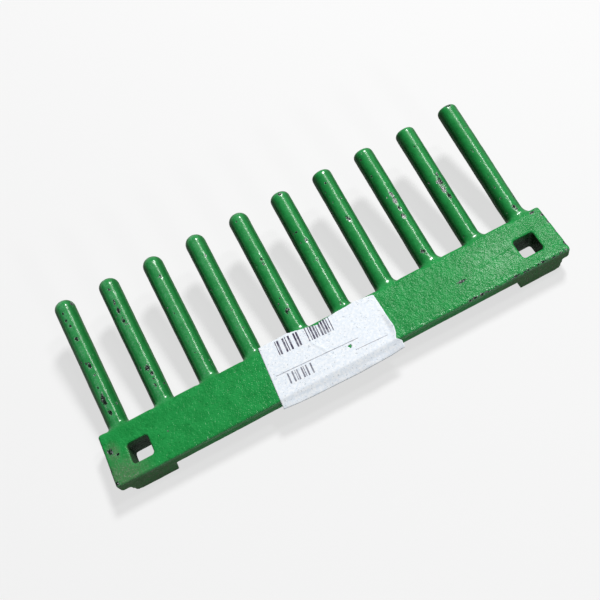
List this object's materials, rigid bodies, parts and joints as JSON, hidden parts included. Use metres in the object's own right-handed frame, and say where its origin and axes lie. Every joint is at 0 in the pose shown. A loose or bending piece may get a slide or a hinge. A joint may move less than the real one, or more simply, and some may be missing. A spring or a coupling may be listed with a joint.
{
  "type": "rake tine casting",
  "caption": "Rake comb cast in one piece: a flat bar with a row of blunt round tines that lean forward, square bolt holes through pads near its ends, green paint and a bare paper label.",
  "frame": {"origin": "midway between the two square bolt holes, in the plane of the two seats that are bolted down", "axes": "+X runs along the bar towards its right end, +Y towards the tips of the tines, and +Z out of the front face, away from what the part is bolted to"},
  "size_m": [0.2765, 0.1144, 0.0327],
  "materials": {
    "comb_casting": "gloss green paint over cast iron, chipped and dusty",
    "paper_label": "matt white paper"
  },
  "bodies": {
    "root": {"comb_casting": "comb_casting", "paper_label": "paper_label"}
  },
  "joints": []
}
